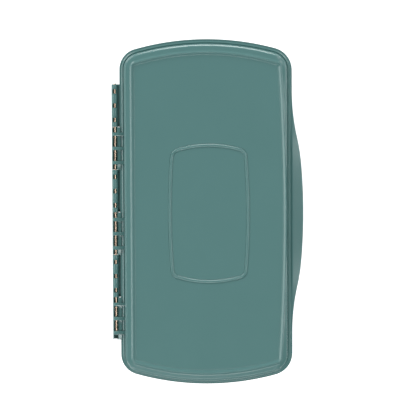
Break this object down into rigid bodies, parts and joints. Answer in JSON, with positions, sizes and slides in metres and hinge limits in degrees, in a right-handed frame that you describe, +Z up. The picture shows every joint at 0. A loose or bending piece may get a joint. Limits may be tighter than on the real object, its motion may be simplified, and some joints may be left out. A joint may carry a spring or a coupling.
{
  "type": "fly box",
  "caption": "Slim pocket case for fishing flies: two hinged halves, each with a slit silicone mat, held shut by magnets in a thumb bulge.",
  "frame": {"origin": "middle of the case outline, on the flat face of the base that it rests on", "axes": "+X from the hinge to the thumb bulge, +Y along the case towards the end where the pin goes in, +Z up through the lid"},
  "size_m": [0.0998, 0.18, 0.022],
  "materials": {
    "moulding": "satin moulded, grey green",
    "pin": "drawn brass wire",
    "mat": "matt silicone, milky",
    "magnet": "bright nickel plate"
  },
  "bodies": {
    "base": {"base_shell": "moulding", "hinge_pin": "pin", "base_mat": "mat", "base_magnet_upper": "magnet", "base_magnet_lower": "magnet"},
    "lid": {"lid_shell": "moulding", "lid_mat": "mat", "lid_magnet_upper": "magnet", "lid_magnet_lower": "magnet"}
  },
  "joints": [
    {"name": "lid_hinge", "type": "hinge", "parent": "base", "child": "lid", "pos_m": [-0.0475, 0, 0.0112], "axis": [0, -1, 0], "range_deg": [0, 180]}
  ]
}
